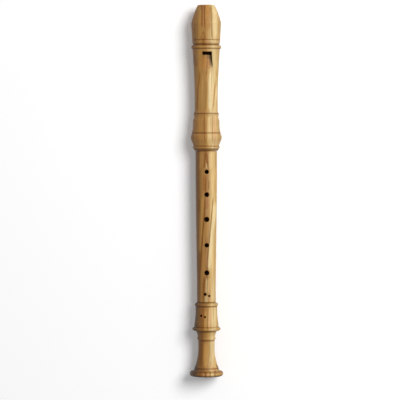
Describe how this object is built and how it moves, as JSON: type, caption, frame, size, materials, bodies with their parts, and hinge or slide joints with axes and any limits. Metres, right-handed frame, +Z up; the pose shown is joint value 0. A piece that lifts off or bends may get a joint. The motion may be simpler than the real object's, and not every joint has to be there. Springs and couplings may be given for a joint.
{
  "type": "alto recorder",
  "caption": "Baroque-style wooden alto recorder in head, middle and foot joints, with a cedar block and corked tenons, lying on its back.",
  "frame": {"origin": "on the surface that the recorder lies on, below the middle of its length", "axes": "+Y along the bore towards the beak, +Z up out of the finger holes, +X to the right seen from above with the beak away"},
  "size_m": [0.045, 0.5, 0.045],
  "materials": {
    "olive_wood_head": "oiled, satin",
    "olive_wood_middle": "oiled, satin",
    "olive_wood_foot": "oiled, satin",
    "cedar": "bare, planed",
    "cork": "sanded cork"
  },
  "bodies": {
    "middle": {"middle_joint": "olive_wood_middle"},
    "upper_cork": {"upper_tenon_cork": "cork"},
    "head": {"head_joint": "olive_wood_head"},
    "fipple_block": {"block": "cedar"},
    "lower_cork": {"lower_tenon_cork": "cork"},
    "foot": {"foot_joint": "olive_wood_foot"}
  },
  "joints": [
    {"name": "head_turn", "type": "hinge", "parent": "middle", "child": "upper_cork", "pos_m": [0, 0.05405, 0.02249], "axis": [0, 1, 0], "continuous": true},
    {"name": "head_slide", "type": "slide", "parent": "upper_cork", "child": "head", "axis": [0, 1, 0], "range_m": [0, 0.03]},
    {"name": "block_slide", "type": "slide", "parent": "head", "child": "fipple_block", "axis": [0, 1, 0], "range_m": [0, 0.068]},
    {"name": "foot_turn", "type": "hinge", "parent": "middle", "child": "lower_cork", "pos_m": [0, -0.15005, 0.02249], "axis": [0, 1, 0], "continuous": true},
    {"name": "foot_slide", "type": "slide", "parent": "lower_cork", "child": "foot", "axis": [0, -1, 0], "range_m": [0, 0.018]}
  ]
}
